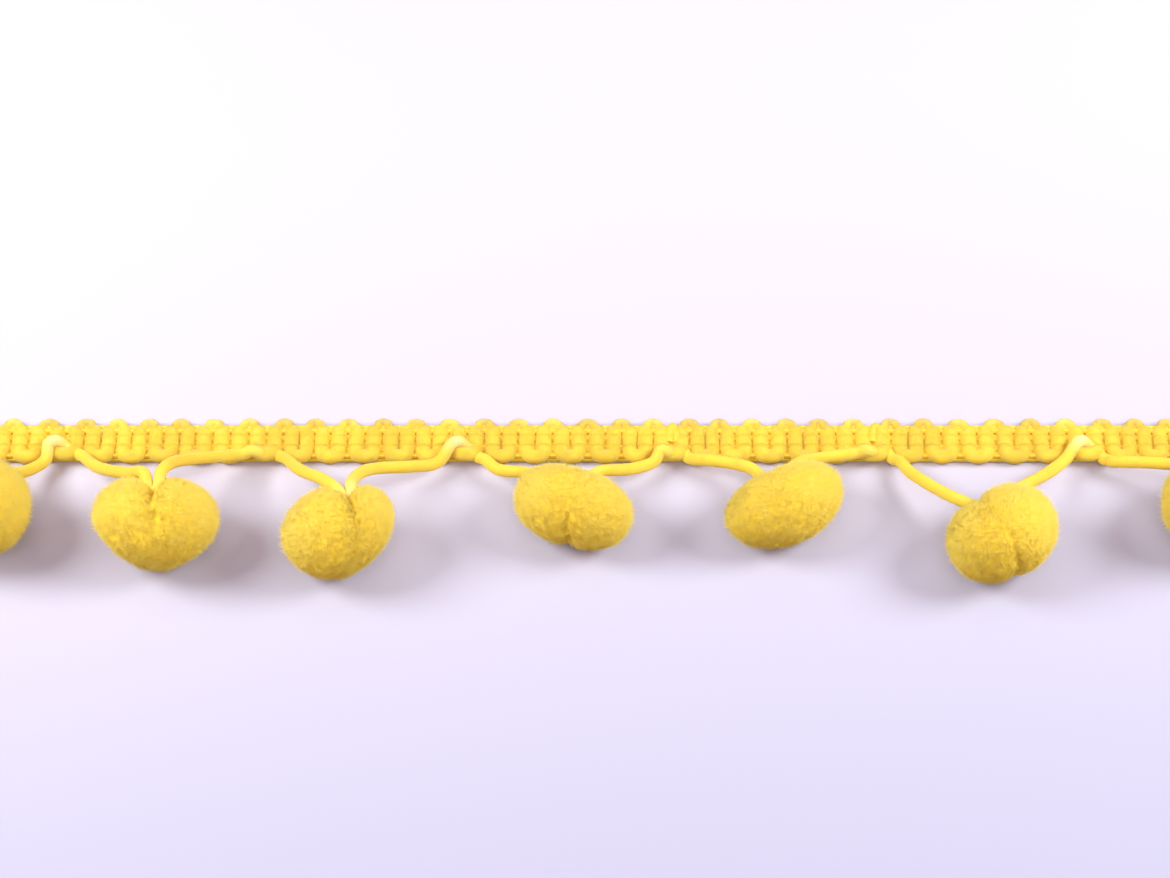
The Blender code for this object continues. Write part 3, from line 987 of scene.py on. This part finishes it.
def cord_tie(x, tie):
    """The cord's way over the lower edge, under the weft at a tie and out again."""
    approach = TIE_EDGE + TIE_STEEP * (tie.rise - TIE_EDGE)
    return [
        (x - 2.0, approach, 2.25),
        (x - 1.25, tie.rise, 2.0),
        (x - 0.65, tie.rise + 0.1, 1.3),
        (x - 0.05, tie.rise * 0.5 - 0.55, 0.85),
        (x + 0.75, -1.6, 0.85),
        (x + 1.45, tie.leave, 1.15),
        (x + 2.2, tie.leave - 0.5, 1.6),
    ]


def cord_route(ties):
    """The cord from its first tie to its last, through every pompom's waist."""
    route = cord_tie(ties[0], TIES[0])[3:]
    for k, (repeat, row) in enumerate(zip(REPEATS, POMPOMS)):
        route += [*repeat.left, *cord_seat(row), *repeat.right]
        turn = cord_tie(ties[k + 1], TIES[k + 1])
        route += turn if k + 1 < len(REPEATS) else turn[:4]
    return route


class TRIM_OT_cord(bpy.types.Operator):
    """Make the carrier cord, with painted highlights where it bends tightly"""

    bl_idname = "trim.cord"
    bl_label = "Carrier cord"

    def execute(self, context):
        sizes = context.scene.trim_sizes
        colours = context.scene.trim_colours
        ties = tie_places()
        line = smooth_line(cord_route(ties))
        cord = yarn("cord", line, sizes.cord, CORD_ROUNDNESS, CORD_UNEVEN)
        # painted highlights on the cord, for the shine of its tight bends over the ties and in each
        # waist
        tight = []
        for x, tie in zip(ties[1:], TIES[1:]):
            drawn = HIGHLIGHT_AT_HIGH_TIE if tie.rise > LOW_RISE else HIGHLIGHT_AT_LOW_TIE
            tight.append((np.array((x, tie.rise, 0.0)) + HIGHLIGHT_FROM_TIE, drawn))
        for repeat, row in zip(REPEATS, POMPOMS):
            tight.append((np.array(cord_seat(row)[1]) + HIGHLIGHT_FROM_SEAT, repeat.drawn))
        places = numbers(cord.data.vertices, "co", 3) / MM
        pale = np.zeros(len(places))
        for place, drawn in tight:
            away = np.linalg.norm(places - place, axis=1)
            pale = np.maximum(pale, drawn * np.exp(-((away / HIGHLIGHT_REACH) ** 2)))
        set_attribute(cord.data, "pale", pale)
        cord = add_hairs(cord, sizes.hairs // 2, "carrier_yarn")
        fold_map(cord.data, CORD_FOLDS)
        shades = (colours.cord, colours.yarn_painted_shade, colours.painted_highlight_colour)
        look = yarn_look("cord_yarn", *shades, CORD_TWIST)
        settle(cord, look, "cord_yarn", "carrier_cord")
        return {"FINISHED"}


# ---- Pompoms ----


def crease_depth(row, slope, around):
    """How far the pile sinks in at the waist, as a share of the radius."""
    near = (1 + np.cos(around)) / 2  # 1 where the cord enters, 0 opposite
    depth = row.top_crease * near**3 + row.far_crease * (1 - near) ** 3 + WAIST_LEAST
    drift = (row.mid_drift * 4 * near + row.far_drift * (1 - near)) * (1 - near)
    jag = CREASE_JAG * (np.sin(around * JAGS[0] + row.x) + np.sin(around * JAGS[1] + row.y))
    away = np.cos(slope) - (drift + jag) * np.abs(np.sin(slope)) ** LOBE_BLUNT
    return depth * sum(part * np.exp(-((away / width) ** 2)) for width, part in CREASES)


def pompom_surface(row, slope, around, share):
    """Points of a pompom's brushed surface, or of one inside it, as an array."""
    along = np.cos(slope)
    ring = np.abs(np.sin(slope)) ** LOBE_BLUNT
    near = (1 + np.cos(around)) / 2
    radius = share - crease_depth(row, slope, around)
    narrowed = 1 - row.taper * (1 - near) * ring
    lobe = 1 - row.skew * np.tanh(along * LOBE_STEP)
    # the smaller lobe is slimmer too
    slim = 1 - LOBE_SLIM * (abs(row.skew) + row.skew * np.tanh(along * SLIM_STEP)) / 2
    shares = np.stack(
        [
            along * radius * narrowed * lobe * row.long / 2,
            ring * np.cos(around) * radius * slim * row.girth / 2,
            ring * np.sin(around) * radius * slim * row.girth / 2,
        ],
        axis=1,
    )
    shares[:, 1] += row.shear * shares[:, 0]
    axes = np.array([tuple(axis) for axis in pompom_axes(row)])
    return shares @ axes + np.array(pompom_middle(row))


def pompom_normals(row, slope, around):
    """Outward directions of the brushed surface."""
    step = 0.01
    here = pompom_surface(row, slope, around, 1.0)
    down = pompom_surface(row, slope + step, around, 1.0) - here
    round_it = pompom_surface(row, slope, around + step, 1.0) - here
    found = np.cross(down, round_it)
    return found / np.maximum(np.linalg.norm(found, axis=1, keepdims=True), 1e-9)


def wander(points, places, number):
    """A smooth random direction for each point of this pompom."""
    shift = Vector((number * places.step + places.start, 0, 0))
    return np.array([tuple(noise.noise_vector(Vector(p) * places.scale + shift)) for p in points])


def pile_core(row):
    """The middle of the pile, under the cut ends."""
    bpy.ops.mesh.primitive_uv_sphere_add(segments=40, ring_count=28, radius=1.0)
    core = bpy.context.object
    places = numbers(core.data.vertices, "co", 3)
    slope = np.arccos(np.clip(places[:, 2], -1, 1))
    around = np.arctan2(places[:, 1], places[:, 0])
    moved = pompom_surface(row, slope, around, CORE_SHARE)
    moved[:, 2] = np.maximum(moved[:, 2], CORE_LOWEST)
    core.data.vertices.foreach_set("co", (moved * MM).astype(np.float32).ravel())
    bpy.ops.object.mode_set(mode="EDIT")
    bpy.ops.mesh.select_all(action="SELECT")
    bpy.ops.mesh.normals_make_consistent(inside=False)
    bpy.ops.object.mode_set(mode="OBJECT")
    bpy.ops.object.shade_smooth()
    while core.data.uv_layers:
        core.data.uv_layers.remove(core.data.uv_layers[0])
    # the core shows the roots' painted shade, and its bake map needs some spread
    set_attribute(core.data, "tint", 0.5 + 0.2 * np.sin(places[:, 0] * 5))
    set_attribute(core.data, "height", 0.02 + 0.02 * np.cos(places[:, 1] * 5))
    return core


def pile_tufts(row, random):
    """The middles of a pompom's tufts, and a tree that finds the nearest."""
    step = np.arange(TUFTS)
    slope = np.arccos(1 - 2 * (step + 0.5) / TUFTS) + random.normal(0, TUFTS_UNEVEN[0], TUFTS)
    around = step * GOLDEN_TURN + random.normal(0, TUFTS_UNEVEN[1], TUFTS)
    tufts = pompom_surface(row, slope, around, TUFT_SHARE)
    tree = kdtree.KDTree(TUFTS)
    for k, place in enumerate(tufts):
        tree.insert(place, k)
    tree.balance()
    return tufts, tree


def pile_fibres(row, number, count, cord_places):
    """A pompom's cut fibres: roots, tips, paleness, girth and the pile's own normals."""
    random = np.random.default_rng(SEED + number)
    step = np.arange(count) + 0.5
    slope = np.arccos(1 - 2 * step / count) + random.normal(0, FIBRES_UNEVEN[0], count)
    around = (step * GOLDEN_TURN + random.normal(0, FIBRES_UNEVEN[1], count)) % (2 * math.pi)
    roots = pompom_surface(row, slope, around, ROOT_SHARE)
    normals = pompom_normals(row, slope, around)
    facing = normals @ np.array(ROUGH_SIDE)
    rough = np.clip((facing - ROUGH_FROM) / ROUGH_RANGE, ROUGH_LEAST, 1)
    causes = np.stack(
        [
            np.ones(count),
            facing,
            wander(roots, SWELLS, number)[:, 0],
            wander(roots, LUMPS, number)[:, 1],
            wander(roots, SPECKS, number)[:, 2],
        ]
    )
    share = np.array(REACH) @ causes + rough * (np.array(ROUGH_REACH) @ causes)
    share += random.normal(0, REACH_UNEVEN, count)
    stray = random.random(count) < STRAY_SHARE
    share[stray] += random.uniform(*STRAY_REACH, stray.sum())
    tips = pompom_surface(row, slope, around, share)

    # neighbouring fibres lean together into tufts, most of all where the pile is rough
    tufts, tree = pile_tufts(row, random)
    nearest = np.array([tufts[tree.find(place)[1]] for place in tips])
    waist = np.exp(-((np.cos(slope) / WAIST_WIDTH) ** 2))
    tips += (nearest - tips) * (TUFTED * rough + TUFTED_WAIST * waist)[:, None]
    lean = wander(roots, LEANS, number) * (BRUSHED * (BRUSHED_LEAST + rough))[:, None]
    lean += random.normal(0, BRUSHED_UNEVENLY, (count, 3))
    lean[stray] *= STRAY_LEAN
    tips += lean - normals * np.sum(lean * normals, axis=1, keepdims=True)

    # the underside is pressed flat on the table, and its fibres are turned outwards
    sunk = np.maximum(FLOOR_CLEAR - tips[:, 2], 0)
    outwards = tips - np.array(pompom_middle(row))
    outwards[:, 2] = 0
    outwards /= np.maximum(np.linalg.norm(outwards, axis=1, keepdims=True), 1e-6)
    tips += outwards * (sunk * SPLAY)[:, None]
    tips[:, 2] = np.maximum(tips[:, 2], FLOOR_CLEAR)
    roots[:, 2] = np.maximum(roots[:, 2], ROOT_LOWEST)

    clear = np.ones(count, bool)
    for place in cord_places:
        clear &= np.linalg.norm(tips - place, axis=1) > TIP_CLEAR
        clear &= np.linalg.norm((tips + roots) / 2 - place, axis=1) > FIBRE_CLEAR
    # painted light and shade on the tips: darker towards the rough lower side, paler where they stand
    # out; the random spread is their own tone
    tint = np.array(PALENESS) @ causes + rough * (np.array(ROUGH_PALENESS) @ causes)
    # painted shade in the crease of the waist
    tint += random.normal(0, PALENESS_UNEVEN, count) - CREASE_PAINTED_SHADE * crease_depth(row, slope, around)
    # painted highlight on the stray fibres
    tint = np.clip(tint + STRAY_HIGHLIGHT * stray, 0, 1)
    girth = np.where(stray, STRAY_GIRTH, 1.0) * random.uniform(*GIRTHS, count)
    return roots[clear], tips[clear], tint[clear], girth[clear], normals[clear]


def soften(mesh, normals):
    """Shades the fibres mostly as the soft surface that they make up together."""
    own = numbers(mesh.vertex_normals, "vector", 3)
    own[: len(normals)] = own[: len(normals)] * (1 - SOFTNESS) + normals * SOFTNESS
    own[:, 2] += GLOW
    own /= np.linalg.norm(own, axis=1, keepdims=True)
    mesh.normals_split_custom_set_from_vertices(own.tolist())


def shade_map(mesh, offsets):
    """The bake map of a pile: each point lies by its shade and its height."""
    tint = numbers(mesh.attributes["tint"].data, "value", 1)
    height = numbers(mesh.attributes["height"].data, "value", 1)
    corners = whole_numbers(mesh.loops, "vertex_index")
    places = SHADE_MARGIN + (1 - 2 * SHADE_MARGIN) * np.stack([tint, height], 1) + offsets
    layer = mesh.uv_layers.new(name="OFBake")
    layer.uv.foreach_set("vector", places[corners].astype(np.float32).ravel())


class TRIM_OT_pompoms(bpy.types.Operator):
    """Make the cut-pile pompoms, each with its own fibres"""

    bl_idname = "trim.pompoms"
    bl_label = "Pompoms"

    def execute(self, context):
        sizes = context.scene.trim_sizes
        colours = context.scene.trim_colours
        look = pile_look("pompom_pile", colours.pile_painted_root_shade, colours.pile_painted_shade, colours.pile_tip)
        line = smooth_line(cord_route(tie_places()))
        noise.seed_set(WANDER_SEED)
        for number, row in enumerate(POMPOMS, 1):
            near = [np.array(p) for p in line if (p - pompom_middle(row)).length < CORD_NEAR]
            roots, tips, tint, girth, normals = pile_fibres(row, number, sizes.fibres, near)
            fibres = spike_object("fibres", roots * MM, tips * MM, girth * sizes.fibre)
            set_attribute(fibres.data, "tint", np.repeat(tint, 4))
            set_attribute(fibres.data, "height", np.tile((0.0, 0.0, 0.0, 1.0), len(roots)))
            pompom = joined([fibres, pile_core(row)], f"pompom_pile_{number}")
            # on the bake map the three points of a root stand a little apart
            apart = [(-0.01, 0.0), (0.01, 0.0), (0.0, 0.02), (0.0, 0.0)]
            offsets = np.zeros((len(pompom.data.vertices), 2))
            offsets[: 4 * len(roots)] = np.tile(apart, (len(roots), 1))
            shade_map(pompom.data, offsets)
            soften(pompom.data, np.repeat(normals, 4, axis=0))
            settle(pompom, look, "pompom_pile", f"pompom_{number}")
        return {"FINISHED"}


# ---- Stage ----

VIEW_TARGET = (0.00069, 0.0002, 0.0009)
VIEW_TILT = 60  # degrees above level
VIEW_LENS = 85
VIEW_SENSOR = 36
PHOTO_WIDTH = 1170  # pixels
PIXEL_SIZE = 0.125 * MM  # of the trim that one pixel shows
VIEW_DISTANCE = PHOTO_WIDTH * PIXEL_SIZE * VIEW_LENS / VIEW_SENSOR
VIEW_NEAREST = 0.001

FLOOR_WIDTH = 6.0
FLOOR_SQUARES = 8
FLOOR_SLANT = 0.15  # the floor's painted shade runs a little aslant
FLOOR_FADE = (-0.06, 0.09)  # from far to near over this stretch, in metres
FLOOR_GRAIN = Spots(1400.0, 3.0)
GRAIN_SHARE = 0.05
GRAIN_SHADE = 0.9  # of the grain, as a share of the far floor's
FLOOR_RELIEF = 0.01

# Places and widths are in metres, and share is of the power of a side light.
Lamp = namedtuple("Lamp", "name place width share colour")
LAMPS = (
    Lamp("left_softbox", (-0.3, 0.03, 0.26), 0.18, 1.65, (0.94, 1.0, 1.0)),
    Lamp("right_softbox", (0.32, 0.03, 0.26), 0.18, 1.75, (0.94, 1.0, 1.0)),
    Lamp("top_softbox", (0.0, 0.10, 0.41), 0.34, 0.29, (0.97, 1.0, 1.0)),
)
LIT_PLACE = (0.0, -0.01, 0.0)  # that the lights are turned to
SKY_FROM = (0.0, -0.22, 0.36)  # the side that the even front light comes from
SKY_SPREAD = 40  # degrees
SKY_COLOUR = (0.97, 1.0, 1.0)
AIR_COLOUR = (1.0, 0.76, 0.77, 1.0)


class TRIM_OT_stage(bpy.types.Operator):
    """Make the pale floor, the soft lights and the camera"""

    bl_idname = "trim.stage"
    bl_label = "Stage"

    def execute(self, context):
        look = context.scene.trim_stage
        bpy.ops.object.select_all(action="DESELECT")
        bpy.ops.mesh.primitive_grid_add(
            x_subdivisions=FLOOR_SQUARES, y_subdivisions=FLOOR_SQUARES, size=FLOOR_WIDTH
        )
        floor = context.object
        floor.name = "floor"
        floor.data.materials.append(floor_look("floor_card", look.near, look.far))
        for lamp in LAMPS:
            light = bpy.data.lights.new(lamp.name, "AREA")
            light.shape = "DISK"
            light.size = lamp.width
            light.energy = look.side_power * lamp.share
            light.color = lamp.colour
            self.hang(light, lamp.place)
        sky = bpy.data.lights.new("front_sky", "SUN")
        sky.angle = math.radians(SKY_SPREAD)
        sky.energy = look.front
        sky.color = SKY_COLOUR
        self.hang(sky, SKY_FROM)
        world = bpy.data.worlds.new("air")
        world.use_nodes = True
        air = world.node_tree.nodes["Background"]
        air.inputs["Color"].default_value = AIR_COLOUR
        air.inputs["Strength"].default_value = look.air
        context.scene.world = world
        context.scene.view_settings.view_transform = "Standard"
        self.camera(context)
        return {"FINISHED"}

    def hang(self, light, place):
        """Puts a light in its place and turns it to the trim."""
        lamp = placed(light.name, light)
        lamp.location = place
        aim = Vector(LIT_PLACE) - Vector(place)
        lamp.rotation_euler = aim.to_track_quat("-Z", "Y").to_euler()
        lamp.visible_camera = False

    def camera(self, context):
        """Puts the camera at the photograph's angle."""
        lens = bpy.data.cameras.new("camera")
        lens.lens = VIEW_LENS
        lens.sensor_width = VIEW_SENSOR
        lens.clip_start = VIEW_NEAREST
        camera = placed("camera", lens)
        tilt = math.radians(VIEW_TILT)
        back = Vector((0, -math.cos(tilt), math.sin(tilt)))
        camera.location = Vector(VIEW_TARGET) + back * VIEW_DISTANCE
        camera.rotation_euler = back.to_track_quat("Z", "Y").to_euler()
        context.scene.camera = camera


class TRIM_PT_panel(bpy.types.Panel):
    """The trim's making, step by step"""

    bl_idname = "TRIM_PT_panel"
    bl_label = "Pompom fringe trim"
    bl_space_type = "VIEW_3D"
    bl_region_type = "UI"
    bl_category = "Trim"

    def draw(self, context):
        for holder in GROUPS:
            group = getattr(context.scene, holder)
            box = self.layout.box()
            for name in group.__annotations__:
                box.prop(group, name)
        for step in STEPS:
            self.layout.operator(step.bl_idname)


STEPS = (TRIM_OT_heading, TRIM_OT_cord, TRIM_OT_pompoms, TRIM_OT_stage)
GROUPS = {"trim_sizes": TrimSizes, "trim_colours": TrimColours, "trim_stage": StageLook}


def register():
    for item in (*GROUPS.values(), *STEPS, TRIM_PT_panel):
        bpy.utils.register_class(item)
    for name, group in GROUPS.items():
        setattr(bpy.types.Scene, name, bpy.props.PointerProperty(type=group))


def unregister():
    for name in GROUPS:
        delattr(bpy.types.Scene, name)
    for item in reversed((*GROUPS.values(), *STEPS, TRIM_PT_panel)):
        bpy.utils.unregister_class(item)


def main():
    """Makes the trim and its stage."""
    register()
    bpy.ops.trim.heading()
    bpy.ops.trim.cord()
    bpy.ops.trim.pompoms()
    bpy.ops.trim.stage()


if __name__ == "__main__":
    main()
